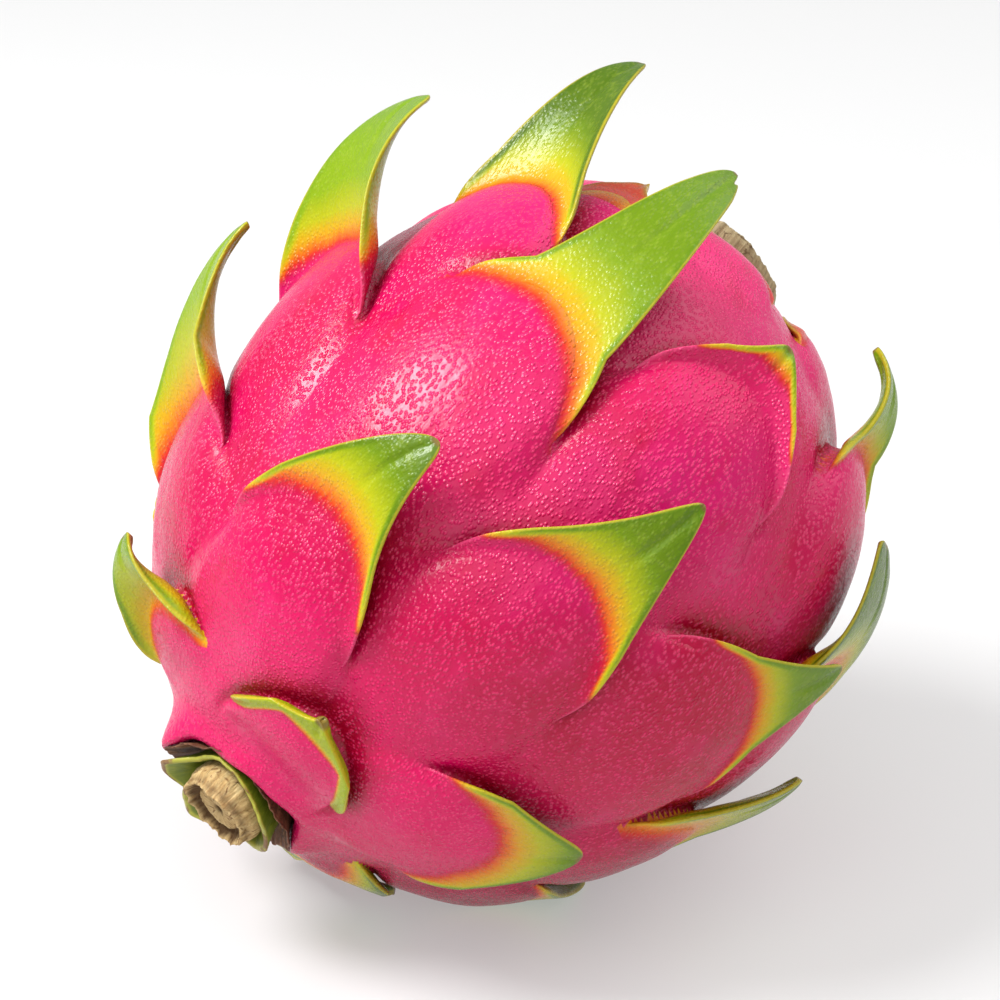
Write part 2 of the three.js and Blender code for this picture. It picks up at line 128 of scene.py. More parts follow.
# Colours of the rind. On a ramp each stands after its place.
CRIMSONS = (
    (0.32, (0.32, 0.0004, 0.018)), (0.5, (0.4, 0.0005, 0.036)), (0.68, (0.48, 0.0008, 0.07)),
)
MAGENTAS = (
    (0.32, (0.5, 0.001, 0.06)), (0.5, (0.56, 0.003, 0.1)), (0.68, (0.62, 0.008, 0.16)),
)
# Its first, darker red is partly the scale's own deep crimson and partly painted shade in the crease along
# the fold.
LEAF_GREENS = (
    (0.0, (0.42, 0.001, 0.014)), (0.08, (0.55, 0.02, 0.008)), (0.13, (0.62, 0.13, 0.005)),
    (0.2, (0.56, 0.3, 0.003)), (0.31, (0.38, 0.39, 0.003)), (0.5, (0.2, 0.32, 0.002)),
    (1.0, (0.14, 0.26, 0.002)),
)
CROWN_ORANGES = (
    (0.0, (0.6, 0.008, 0.05)), (0.3, (0.66, 0.06, 0.02)), (0.6, (0.7, 0.2, 0.02)),
    (1.0, (0.62, 0.36, 0.05)),
)
# The first two are painted light, a lighter pink towards the crown end and the stem end; the third is the
# rind's own paler patches.
CROWN_PAINTED_LIGHT, STEM_PAINTED_LIGHT, PALE_PINK = (0.8, 0.02, 0.17), (0.68, 0.001, 0.12), (0.68, 0.02, 0.16)
# The first is the rind's own darker patches; the other two are painted shade, low down by the floor and
# under the tongues.
DEEP_CRIMSON, BELLY_PAINTED_SHADE, FOLD_PAINTED_SHADE = (0.4, 0.0008, 0.012), (0.18, 0.0002, 0.01), (0.24, 0.0003, 0.004)
# The first is the pale grains, partly their own colour and partly painted glints on them; the second is
# painted sheen on the thin wing edges.
GRAIN_AND_GLINT_PINK, EDGE_SHEEN_PINK = (0.95, 0.05, 0.2), (0.8, 0.1, 0.24)
FLECK_GREEN, GRAIN_GREEN, RIM_YELLOW = (0.3, 0.4, 0.02), (0.5, 0.55, 0.08), (0.55, 0.42, 0.02)
# The first is the dry tips' own brown; the second is painted shade, near black, down in the pit round the
# stem.
TIP_BROWN, PIT_PAINTED_SHADE = (0.16, 0.09, 0.025), (0.05, 0.012, 0.008)
DEEP_LEAF = (0.36, 0.42, 0.15)  # multiplies the colour of the deepest green

# Colours of the dry parts and the collar, on their ramps
STEM_WOODS = (
    (0.3, (0.2, 0.1, 0.035)), (0.42, (0.44, 0.28, 0.11)), (0.55, (0.6, 0.43, 0.2)),
    (0.72, (0.7, 0.55, 0.3)),
)
SCAR_WOODS = (
    (0.3, (0.13, 0.08, 0.035)), (0.42, (0.3, 0.22, 0.11)), (0.55, (0.46, 0.36, 0.2)),
    (0.72, (0.58, 0.48, 0.3)),
)
HUSK_BROWNS = (
    (0.3, (0.05, 0.02, 0.012)), (0.5, (0.16, 0.06, 0.03)), (0.65, (0.34, 0.17, 0.09)),
    (0.8, (0.5, 0.33, 0.2)),
)
COLLAR_GREENS = (
    (0.3, (0.06, 0.09, 0.004)), (0.5, (0.14, 0.19, 0.008)), (0.7, (0.28, 0.31, 0.02)),
)
COLLAR_EDGE_GREEN, COLLAR_SPECKS = (0.42, 0.4, 0.04), (0.2, 0.1, 0.03)
# Stains, with painted shade in the hollows and down in the pit.
COLLAR_STAIN_AND_SHADE, WOOD_STAIN_AND_SHADE = (0.16, 0.06, 0.02), (0.075, 0.032, 0.012)

# Cut stem: radius, level, how much the edge frays, how fibrous it is, how dark, partly its own stain and
# partly painted shade in the hole, in the groove and down in the pit
STEM_LEVELS = (
    (0.35, -1.9, 0, 0, 1.0), (0.5, -1.1, 0, 0.1, 0.9), (0.85, -0.8, 0, 0.3, 0.1),
    (1.6, -0.6, 0, 0.5, -0.2), (2.6, -0.55, 0, 0.6, -0.3), (3.3, -0.7, 0.2, 0.7, -0.1),
    (3.7, -1.3, 0.4, 0.6, 1.0), (4.3, -1.4, 0.8, 0.8, 1.1), (4.75, -0.7, 1.0, 1.0, 1.0),
    (4.95, 0.0, 1.4, 1.0, 0.3), (5.15, 0.2, 1.5, 1.0, -0.1), (5.35, 0.0, 1.2, 1.0, 0.2),
    (5.45, -0.5, 0.9, 1.0, 0.6), (5.6, -0.9, 0.7, 1.0, 0.3), (5.9, -1.5, 0.6, 1.0, -0.1),
    (6.05, -2.4, 0.5, 1.0, 0.0), (5.9, -3.6, 0.3, 0.8, 0.2), (5.4, -6.0, 0, 0.4, 0.6),
    (4.8, -9.0, 0, 0, 1.0), (4.0, -12.0, 0, 0, 1.0),
)
# angle, radius and level along the edges of the green collar and the dry husk
COLLAR_EDGE = (
    (-54, 9.6, 0.1), (-72, 9.3, 0.0), (-88, 6.9, -1.0), (-104, 7.9, -0.4), (-120, 8.9, -0.1),
    (-136, 7.4, -0.7), (-160, 6.3, -1.7), (178, 6.3, -1.9), (150, 7.6, -1.7), (128, 7.9, -1.6),
    (105, 7.1, -2.0), (84, 8.3, -1.4), (60, 8.0, -2.3), (35, 8.3, -2.9), (12, 8.2, -3.1),
    (-8, 7.5, -2.9), (-26, 7.1, -2.2), (-40, 8.3, -0.9),
)
HUSK_EDGE = (
    (-60, 10.6, -1.5), (-30, 9.8, -1.9), (-10, 9.2, -3.0), (15, 9.6, -3.6), (35, 9.4, -3.9),
    (55, 9.3, -3.6), (75, 9.4, -3.2), (95, 9.6, -3.4), (120, 10.0, -3.6), (150, 9.6, -4.6),
    (-150, 9.3, -5.0), (-100, 9.3, -5.0),
)
# Flower scar: radius, level, how dark, partly its own stain and partly painted shade in the hollow and
# underneath
SCAR_LEVELS = (
    (0.3, 0.0, 1.0), (1.2, 0.2, 0.9), (2.2, 0.9, 0.5), (2.8, 1.5, 0.2), (3.4, 1.1, 0.6),
    (4.6, 0.7, 0.45), (6.2, 1.1, 0.3), (7.8, 1.8, 0.15), (9.0, 2.5, 0.05), (9.8, 3.1, 0.0),
    (10.5, 3.4, 0.0), (11.0, 3.0, 0.1), (11.3, 2.0, 0.2), (11.3, 0.6, 0.35), (11.2, -1.0, 0.7),
    (10.6, -3.4, 1.0), (6.0, -3.9, 1.0),
)

AXIS = np.array([math.cos(PITCH), 0, math.sin(PITCH)])
OVER = np.array([-math.sin(PITCH), 0, math.cos(PITCH)])
SIDE = np.array([0.0, 1.0, 0.0])
SAG = math.cos(BOW_AT) * OVER - math.sin(BOW_AT) * SIDE


def smooth(low, high, value):
    t = np.clip((value - low) / (high - low), 0, 1)
    return t * t * (3 - 2 * t)


def along_axes(place):
    return place[0] * AXIS + place[1] * OVER + place[2] * SIDE


def body_radius(x):
    t = np.clip(np.abs(x) / np.where(x < 0, HALF_STEM, HALF_TOP), 0, 1)
    return GIRTH * np.sqrt(np.maximum(1 - t**ROUNDNESS, 0))


# Length along the body's outline from the middle to each station.
_turn = np.linspace(-math.pi / 2, math.pi / 2, 1601)
STATIONS = np.sin(_turn) * np.where(_turn < 0, HALF_STEM, HALF_TOP)
_steps = np.hypot(np.diff(STATIONS), np.diff(body_radius(STATIONS)))
LENGTHS = np.concatenate([[0], np.cumsum(_steps)])
LENGTHS -= np.interp(0, STATIONS, LENGTHS)


def along_of(x):
    return np.interp(x, STATIONS, LENGTHS)


def station_of(along):
    return np.interp(along, LENGTHS, STATIONS)


def point_over(x, angle, height):
    """The points over stations and angles (radians) at heights above the plain body."""
    x, angle, height = np.broadcast_arrays(x, angle, height)
    before = np.maximum(x - 0.05, -HALF_STEM)
    after = np.minimum(x + 0.05, HALF_TOP)
    slope = (body_radius(after) - body_radius(before)) / (after - before)
    steep = np.hypot(1, slope)
    outward = np.cos(angle)[..., None] * OVER - np.sin(angle)[..., None] * SIDE
    return (
        (x - slope / steep * height)[..., None] * AXIS
        + (body_radius(x) + height / steep)[..., None] * outward
        + (BOW * (1 - (x / BOW_SPAN) ** 2))[..., None] * SAG
    )


def noise_of(places, size, seed=0):
    """Smooth noise from -1 to 1 at places, with features about size across."""
    flat = np.asarray(places, float).reshape(-1, 3) / size + seed * 17.3
    values = [noise.noise(Vector(p)) for p in flat]
    return np.array(values).reshape(np.shape(places)[:-1])


class Scale:
    """One scale, from its row of numbers."""

    def __init__(self, row, near=True):
        (self.name, self.x, at, turn, tip_x, tip_at, self.tip_height, span, self.length,
         self.height, self.blunt, neck, self.rise, self.arch, self.green_at,
         self.green_over) = row
        self.near = near
        self.at, self.turn = math.radians(at), math.radians(turn)
        self.along = float(along_of(self.x))
        ahead = float(along_of(tip_x)) - self.along
        middle = max(float(body_radius((self.x + tip_x) / 2)) + self.tip_height / 2, 8)
        across = math.radians(tip_at - at) * middle
        self.radius = float(body_radius(self.x))
        self.reach = ahead * math.cos(self.turn) + across * math.sin(self.turn)
        self.sway = across * math.cos(self.turn) - ahead * math.sin(self.turn)
        self.half = span / 2
        self.root = neck * self.half
        self.sweep = FOLD_SWEEP * span / self.half**2
        self.wings = WING_SHARE * span
        self.deep = GREEN_DEPTH_AND_SHADE.get(self.name, USUAL_DEPTH)

    def half_width(self, d):
        p = np.clip(d / self.reach, 0, 1)
        tongue = self.root * (
            (1 - self.blunt) * (1 - p) ** 1.7 + self.blunt * np.sqrt(1 - p**2.4)
        )
        b = np.clip(-d / self.wings, 0, 1)
        c = np.clip((-d - self.wings) / max(self.length - self.wings, 1), 0, 1)
        wing = self.root + (self.half - self.root) * (1 - (1 - b) ** 1.6)
        swollen = (1 + 0.1 * np.sin(math.pi * c)) * (1 - 0.45 * c * c)
        return np.where(d > 0, tongue, wing) * swollen

    def swelling(self, d, q):
        """Height of the rind's swelling behind the fold, with its sides left up."""
        risen = np.clip((d + self.length) / (self.length * 0.85), 0, 1)
        ramp = np.sin(math.pi / 2 * risen) ** 1.3
        return self.height * ramp * (1 - 0.45 * np.clip(q / self.half, -1.2, 1.2) ** 2)

    def side(self, d, q):
        return 1 - smooth(0.8, 1.3, np.abs(q) / np.maximum(self.half_width(np.minimum(d, 0)), 1))

    def flare(self, e):
        p = np.clip(e / self.reach, 0, 1)
        climb = (1 - (1 - p) ** (1.7 + 0.8 * self.rise)) ** (1.5 - 0.45 * self.rise)
        return (self.tip_height - self.height) * climb + self.arch * np.sin(math.pi * p)

    def ripeness(self, d, q):
        """0 where the pink turns, 1 where it is green, and more beyond."""
        curved = RIPE_CURVE * np.clip(q / self.half, -1, 1) ** 2
        return (d + curved - self.green_at) / self.green_over

    def ring(self, x):
        return np.maximum(body_radius(x), 0.8 * self.radius)

    def local(self, x, angle):
        """How far places on the rind lie along the scale and across it."""
        ahead = along_of(x) - self.along
        turned = (angle - self.at + math.pi) % (2 * math.pi) - math.pi
        sideways = turned * (self.ring(x) + self.height)
        c, s = math.cos(self.turn), math.sin(self.turn)
        return ahead * c + sideways * s, -ahead * s + sideways * c

    def foot(self, d, q, height):
        c, s = math.cos(self.turn), math.sin(self.turn)
        x = station_of(self.along + d * c - q * s)
        return x, self.at + (d * s + q * c) / (self.ring(x) + np.maximum(height, self.height))


def far_scales():
    state = FAR_SEED

    def stray():
        nonlocal state
        state = state * 16807 % 2147483647
        return (state / 2147483647 * 2 - 1) * FAR_WANDER

    made = []
    for name, first, step, count, reach, lift, span, length, swelling in FAR_ROWS:
        for k in range(count):
            x = first[0] + k * step[0] + (0 if name == "crown" else stray())
            at = first[1] + k * step[1] + stray()
            height = lift * (1 + 0.06 * stray())
            tip_x = float(station_of(along_of(x) + reach))
            blunt, neck, rise, arch, green_at = FAR_FORMS.get(name, FAR_FORMS["usual"])
            made.append(Scale((f"{name}_{k + 1}", x, at, 0, tip_x, at + stray(), height, span,
                               length, swelling, blunt, neck, rise, arch, green_at, 4), near=False))
    return made


SCALES = [Scale(row) for row in NEAR_SCALES] + far_scales()


def relief(x, angle, own=None, own_swelling=None, others=1.0):
    """Height of the rind over the plain body: the swellings, merged softly.

    For a scale's own blade, own is that scale, own_swelling its own height there and
    others how much the rest count.
    """
    total = np.zeros(np.broadcast(x, angle).shape)
    groove = np.zeros_like(total)
    for s in SCALES:
        if s is own:
            total = total + np.maximum(own_swelling, 0) ** 4
            continue
        d, q = s.local(x, angle)
        e = d + s.sweep * q * q
        step = 1 - smooth(-0.8, 1.0, e)
        swelling = np.where(d > -s.length, s.swelling(d, q), 0) * s.side(d, q) * step
        total = total + others * np.maximum(swelling, 0) ** 4
        at_wing = smooth(-s.wings * 1.3, -s.wings * 0.9, d)
        at_wing = at_wing * (1 - smooth(0.9, 1.1, np.abs(q) / s.half))
        groove = np.maximum(groove, np.exp(-(((e - 1.2) / 1.8) ** 2)) * at_wing)
    return total**0.25 - GROOVE_DEPTH * groove * others


# The stem's own axes: where its cut looks, the side next to the camera, and over it.
STEM_MIDDLE = along_axes(STEM_FACE)
STEM_OUT = along_axes(STEM_WAY) / np.linalg.norm(STEM_WAY)
STEM_NEAR = np.cross(STEM_OUT, np.cross(-SIDE, STEM_OUT))
STEM_NEAR /= np.linalg.norm(STEM_NEAR)
STEM_OVER = np.cross(STEM_OUT, STEM_NEAR)


def stem_local(points):
    """Angle round the stem, 0 over it and 90 degrees near, distance from its axis, and level."""
    from_cut = points - STEM_MIDDLE
    near, over = from_cut @ STEM_NEAR, from_cut @ STEM_OVER
    return np.arctan2(near, over), np.hypot(near, over), from_cut @ STEM_OUT


def round_stem(angle, radius, level):
    angle, radius, level = np.broadcast_arrays(angle, radius, level)
    return (
        STEM_MIDDLE
        + (radius * np.sin(angle))[..., None] * STEM_NEAR
        + (radius * np.cos(angle))[..., None] * STEM_OVER
        + level[..., None] * STEM_OUT
    )


def bumps(angle, lobes):
    """Sum of smooth bumps round a circle: each lobe is its angle, width (degrees) and size."""
    total = np.zeros(np.shape(angle))
    for at, width, size in lobes:
        apart = (np.degrees(angle) - at + 180) % 360 - 180
        total = total + size * np.exp(-((apart / width) ** 2))
    return total


def pitted(points):
    """Draws points near the stem in to form its pit, with thick folds round it."""
    angle, r, level = stem_local(points)
    ripple = 0.04 * np.sin(3 * angle + 0.6) + 0.03 * np.sin(7 * angle)
    wavy = r * (1 + ripple + bumps(angle, PIT_NARROWS))
    lip = 0.5 + bumps(angle, LIPS)
    spread = np.where(wavy < LIP_AT, 1.5, 2.2)
    pull = -PIT_DEPTH * (1 - smooth(6.4, 9.4, wavy)) + lip * np.exp(-(((wavy - LIP_AT) / spread) ** 2))
    pull = pull * smooth(-26, -14, level)
    return points + pull[..., None] * STEM_OUT


def grid_mesh(name, points, faces, floats):
    """A mesh piece from points in mm, faces, and named values on its points."""
    mesh = bpy.data.meshes.new(name)
    place = (points.reshape(-1, 3) + SHIFT) * MM
    # nothing reaches below the floor
    place[:, 2] = np.maximum(place[:, 2], 0)
    mesh.from_pydata(place.tolist(), [], faces)
    mesh.shade_smooth()
    for key, values in floats.items():
        layer = mesh.attributes.new(key, "FLOAT", "POINT")
        layer.data.foreach_set("value", np.ravel(values).astype(np.float32))
    piece = bpy.data.objects.new(name, mesh)
    bpy.context.scene.collection.objects.link(piece)
    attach(piece, "root")
    return piece


def quads(rows, columns, start=0, closed=False, flip=False):
    faces = []
    for i in range(rows - 1):
        for j in range(columns if closed else columns - 1):
            a = start + i * columns + j
            b = start + i * columns + (j + 1) % columns
            face = (a, b, b + columns, a + columns)
            faces.append(face[::-1] if flip else face)
    return faces


def lumpy(x, angle):
    """Low lumps and lengthwise folds of the skin, over stations and angles."""
    plain = point_over(x, angle, 0 * x)
    drawn_out = plain - 0.6 * (plain @ AXIS)[..., None] * AXIS
    return 0.24 * noise_of(drawn_out, 7, 1) + 0.1 * noise_of(drawn_out, 2.6, 2)


def build_rind():
    along = np.linspace(LENGTHS[0], LENGTHS[-1], BODY_ROWS + 2)[1:-1]
    angles = np.arange(BODY_COLUMNS) / BODY_COLUMNS * 2 * math.pi
    x, angle = np.meshgrid(station_of(along), angles, indexing="ij")
    height = relief(x, angle)
    points = pitted(point_over(x, angle, height + lumpy(x, angle)))
    ripe = np.full(x.shape, -20.0)
    shade_under_tongues = np.zeros(x.shape)
    for s in SCALES:
        d, q = s.local(x, angle)
        e = d + s.sweep * q * q
        inside = (e < 0.8) & (d > -s.wings) & (np.abs(q) < s.half_width(d) * 1.05)
        if s.name != "collar":
            ripe = np.where(inside, np.maximum(ripe, s.ripeness(d, q)), ripe)
        # Painted shade on the rind just beyond each fold, where its tongue hangs over it.
        covered = smooth(-0.5, 1.0, e) * (1 - smooth(2.0, 9.0, e))
        shade_under_tongues = np.maximum(shade_under_tongues, covered * (1 - smooth(0.8, 1.15, np.abs(q) / s.half)))
    ends = point_over(np.array([-HALF_STEM, HALF_TOP]), np.zeros(2), np.zeros(2))
    ends[:1] = pitted(ends[:1])
    count = x.size
    faces = quads(BODY_ROWS, BODY_COLUMNS, closed=True, flip=True)
    for j in range(BODY_COLUMNS):
        k = (j + 1) % BODY_COLUMNS
        faces.append((count, j, k))
        faces.append((count + 1, count - BODY_COLUMNS + k, count - BODY_COLUMNS + j))

    def pad(values, end):
        return np.concatenate([np.ravel(values), [end, end]])

    _, r, level = stem_local(points)
    # Where the pit's painted shade goes.
    pit = (1 - smooth(8.0, 9.8, r)) * smooth(-30, -20, level)
    floats = {
        "ripe": pad(ripe, -20),
        "shade_under_tongues": pad(shade_under_tongues, 0),
        "rim": np.full(count + 2, 20.0),
        "tip": np.full(count + 2, 20.0),
        "leaf": np.ones(count + 2),
        "pit": pad(pit, 1),
        "deep": np.full(count + 2, USUAL_DEPTH),
    }
    return grid_mesh("rind", np.concatenate([points.reshape(-1, 3), ends]), faces, floats)


def eased(vectors):
    """Unit vectors of a grid, each averaged with its neighbours."""
    for _ in range(3):
        padded = np.pad(vectors, ((1, 1), (1, 1), (0, 0)), mode="edge")
        vectors = (padded[:-2, 1:-1] + padded[2:, 1:-1] + padded[1:-1, :-2] + padded[1:-1, 2:]) / 4
    return vectors / np.maximum(np.linalg.norm(vectors, axis=-1, keepdims=True), 1e-9)


def build_blade(s):
    grid = NEAR_GRID if s.near else FAR_GRID
    back = s.wings * 1.45
    behind = -back * (1 - np.arange(grid["behind"]) / grid["behind"])
    tongue = s.reach * np.sin(np.linspace(0, math.pi / 2, grid["tongue"]))
    side_to_side = np.sin(np.linspace(-math.pi / 2, math.pi / 2, grid["columns"]))
    d, u = np.meshgrid(np.concatenate([behind, tongue]), side_to_side, indexing="ij")
    width = np.maximum(s.half_width(d), 0.04)
    q = u * width
    if s.name in SPLIT_TIPS:
        at, depth = SPLIT_TIPS[s.name]
        d = d - depth * np.exp(-(((q - at) / 0.45) ** 2)) * smooth(0.82, 1, d / s.reach)
    e = d + s.sweep * q * q
    p = np.clip(d / s.reach, 0, 1)
    free = smooth(-6, 0, e)
    swelling = s.swelling(np.minimum(d, 0), q) * (s.side(d, q) * (1 - free) + free)
    rough = swelling + s.flare(e)
    x, angle = s.foot(d, q + s.sway * p**1.6, rough)
    height = relief(x, angle, s, swelling, 1 - smooth(-1, 5, e))
    skin = lumpy(x, angle)
    keel = 0.28 * np.exp(-((q / 0.6) ** 2)) * smooth(0.25, 0.5, p) * (1 - smooth(0.85, 1, p))
    past_pink = s.ripeness(d, q) * s.green_over + 1.2
    valley = 0.3 * np.exp(-((past_pink / 1.5) ** 2)) * (1 - np.abs(u) ** 3)
    height = height + skin * (1 - 0.6 * smooth(0, 4, e)) + s.flare(e) - keel
    height = height - 0.4 + 0.5 * smooth(-8, 0, e)
    # the wings' ends sink into the rind
    height = height - 0.9 * smooth(-4.5, -10, d) * np.abs(u) ** 6
    if s.name == "collar":
        height = height - 1.1 * smooth(-2.5, -9, d) * np.abs(u) ** 3
    else:
        height = height - valley
    outer = point_over(x, angle, height)
    ahead = np.gradient(outer, axis=0)
    across = np.gradient(outer, axis=1)
    normal = np.cross(across, ahead)
    normal /= np.maximum(np.linalg.norm(normal, axis=-1, keepdims=True), 1e-9)
    if np.sum(normal * outer) < 0:
        normal = -normal
    normal = eased(normal)
    rim = np.minimum((1 - np.abs(u)) * width, (s.reach - d) * 0.8)
    leaf = EDGE_THICK + (MID_THICK - EDGE_THICK) * (1 - u * u) * (1 - 0.6 * p)
    thick = leaf + (1.6 - 0.6 * leaf) * (1 - smooth(-3.5, 1.5, d)) * (1 - u**4)
    curl = 1 - np.sqrt(1 - (1 - np.clip(rim / 0.55, 0, 1)) ** 2)
    inner = outer - normal * (thick - 0.45 * curl * EDGE_THICK)[..., None]
    outer = outer - normal * (0.45 * curl * EDGE_THICK)[..., None]
    rows, columns = d.shape
    count = d.size
    faces = quads(rows, columns) + quads(rows, columns, start=count, flip=True)
    for i in range(rows - 1):
        a, b = i * columns, (i + 1) * columns
        faces.append((a, b, count + b, count + a))
        faces.append((b - 1, count + b - 1, count + b + columns - 1, b + columns - 1))
    for j in range(columns - 1):
        a, b = j, (rows - 1) * columns + j
        faces.append((a, count + a, count + a + 1, a + 1))
        faces.append((b, b + 1, count + b + 1, count + b))
    if s.name == "collar":
        # Its green is a crescent along the edge.
        ripe = np.minimum(1.6 * (2.4 * smooth(-11, -4, d) - rim), 0.9)
    else:
        ripe = s.ripeness(d, q) + 1.3 * smooth(1.3, 0.15, rim) * smooth(-7, -1, d)
    crown = s.name.startswith("crown")
    floats = {
        "ripe": np.tile(ripe.ravel(), 2),
        # Painted shade, at half strength, on the blade's inner face.
        "shade_under_tongues": np.concatenate([np.zeros(count), np.full(count, 0.5)]),
        "rim": np.tile(rim.ravel(), 2),
        "tip": np.tile(np.hypot(s.reach - d, 0.6 * q).ravel() + (20 if crown else 0), 2),
        "across": np.tile(q.ravel(), 2),
        "ahead": np.tile(d.ravel(), 2),
        "leaf": np.full(2 * count, 0.0 if crown else 1.0),
        "deep": np.full(2 * count, s.deep),
    }
    points = pitted(np.concatenate([outer.reshape(-1, 3), inner.reshape(-1, 3)]))
    return grid_mesh("scale_" + s.name, points, faces, floats)


class Nodes:
    """Short ways to build a material's node tree."""

    def __init__(self, name):
        self.material = bpy.data.materials.new(name)
        self.material.use_nodes = True
        self.tree = self.material.node_tree
        self.shader = self.tree.nodes["Principled BSDF"]

    def link(self, value, socket):
        if isinstance(value, bpy.types.NodeSocket):
            self.tree.links.new(value, socket)
        else:
            socket.default_value = value

    def node(self, kind, inputs=(), **settings):
        made = self.tree.nodes.new(kind)
        for key, value in settings.items():
            setattr(made, key, value)
        for key, value in dict(inputs).items():
            self.link(value, made.inputs[key])
        return made

    def place(self):
        return self.node("ShaderNodeTexCoord").outputs["Object"]

    def value(self, name):
        return self.node("ShaderNodeAttribute", attribute_name=name).outputs["Fac"]

    def math(self, operation, a, b=0.0, clamp=False):
        made = self.node("ShaderNodeMath", {0: a, 1: b}, operation=operation, use_clamp=clamp)
        return made.outputs[0]

    def span(self, value, low, high, to_low=0.0, to_high=1.0):
        inputs = {
            "Value": value, "From Min": low, "From Max": high, "To Min": to_low, "To Max": to_high,
        }
        made = self.node("ShaderNodeMapRange", inputs, interpolation_type="SMOOTHSTEP")
        return made.outputs["Result"]

    def noise(self, scale, detail=2.0, place=None, roughness=0.5):
        inputs = {
            "Vector": place or self.place(), "Scale": scale, "Detail": detail, "Roughness": roughness,
        }
        return self.node("ShaderNodeTexNoise", inputs).outputs["Fac"]

    def cells(self, scale, place=None, **settings):
        inputs = {"Vector": place or self.place(), "Scale": scale}
        return self.node("ShaderNodeTexVoronoi", inputs, **settings).outputs["Distance"]

    def ramp(self, value, stops):
        made = self.node("ShaderNodeValToRGB", {"Fac": value})
        steps = made.color_ramp.elements
        while len(steps) < len(stops):
            steps.new(1.0)
        for step, (position, colour) in zip(steps, stops):
            step.position = position
            step.color = (*colour, 1)
        return made.outputs["Color"]

    def mix(self, factor, a, b, kind="MIX"):
        made = self.node("ShaderNodeMix", data_type="RGBA", blend_type=kind)
        for index, value in ((0, factor), (6, a), (7, b)):
            if isinstance(value, tuple):
                value = (*value, 1)
            self.link(value, made.inputs[index])
        return made.outputs[2]

    def bump(self, height, distance, strength=1.0, normal=None):
        inputs = {"Height": height, "Distance": distance, "Strength": strength}
        if normal:
            inputs["Normal"] = normal
        return self.node("ShaderNodeBump", inputs).outputs["Normal"]


def pink_colour(n, place, along, wander, patch):
    """The pink of the rind, its own patches mixed with painted light and shade: lighter and more magenta
    towards its top and both ends, darker crimson low down and under the tongues.
    """
    height = n.node("ShaderNodeSeparateXYZ", {"Vector": place}).outputs["Z"]
    station = n.node("ShaderNodeSeparateXYZ", {"Vector": along}).outputs["X"]
    crownward = n.span(station, 0.03 * GRAIN_DRAWN_OUT, 0.07 * GRAIN_DRAWN_OUT)
    stemward = n.span(station, 0.004 * GRAIN_DRAWN_OUT, -0.022 * GRAIN_DRAWN_OUT)
    patchy = n.math("MULTIPLY", n.math("SUBTRACT", patch, 0.5), 0.7)
    # Painted light and sheen: the rind is drawn lighter and more magenta higher up.
    raised = n.math("ADD", n.span(height, 0.04, 0.1), patchy)
    raised = n.math("ADD", raised, n.math("MULTIPLY", crownward, 0.5), clamp=True)
    pink = n.mix(raised, n.ramp(wander, CRIMSONS), n.ramp(wander, MAGENTAS))
    # Painted light: a lighter pink towards the crown end and the stem end.
    pink = n.mix(n.math("MULTIPLY", crownward, 0.6), pink, CROWN_PAINTED_LIGHT)
    pink = n.mix(n.math("MULTIPLY", stemward, 0.7), pink, STEM_PAINTED_LIGHT)
    pink = n.mix(n.span(patch, 0.52, 0.75, 0.0, 0.3), pink, PALE_PINK)
    pink = n.mix(n.span(patch, 0.46, 0.25, 0.0, 0.4), pink, DEEP_CRIMSON)
    # Painted shade: darker red close to the floor.
    pink = n.mix(n.span(height, 0.03, 0.006, 0.0, 0.85), pink, BELLY_PAINTED_SHADE)
    # Painted shade under the tongues.
    return n.mix(n.math("MULTIPLY", n.value("shade_under_tongues"), 0.85), pink, FOLD_PAINTED_SHADE)


def leaf_colour(n, ripe, fine, dots):
    """From the fold out: a darker red, partly painted shade in the fold's crease, then red, orange, yellow
    and green, with a yellow rim and a brown tip.
    """
    spread = n.node("ShaderNodeMapRange", {
        "Value": ripe, "From Min": -0.7, "From Max": 3.3, "To Min": 0.0, "To Max": 1.0,
    }).outputs["Result"]
    leaf = n.mix(n.value("leaf"), n.ramp(spread, CROWN_ORANGES), n.ramp(spread, LEAF_GREENS))
    # Deeper green, partly each scale's own tone and partly painted shade.
    deep = n.math("MULTIPLY", n.value("deep"), n.span(ripe, 0.4, 1.8))
    leaf = n.mix(deep, leaf, DEEP_LEAF, "MULTIPLY")
    flecks = n.math("MULTIPLY", n.span(fine, 0.5, 0.8, 0.0, 0.2), n.span(ripe, 0.8, 1.8))
    leaf = n.mix(flecks, leaf, FLECK_GREEN)
    leaf = n.mix(n.math("MULTIPLY", dots, 0.08), leaf, GRAIN_GREEN)
    rim = n.math("MULTIPLY", n.span(n.value("rim"), 0.4, 0.1), n.span(ripe, -0.6, 0.2))
    leaf = n.mix(n.math("MULTIPLY", rim, 0.55), leaf, RIM_YELLOW)
    return n.mix(n.span(n.value("tip"), 0.9, 0.4, 0.0, 0.8), leaf, TIP_BROWN)


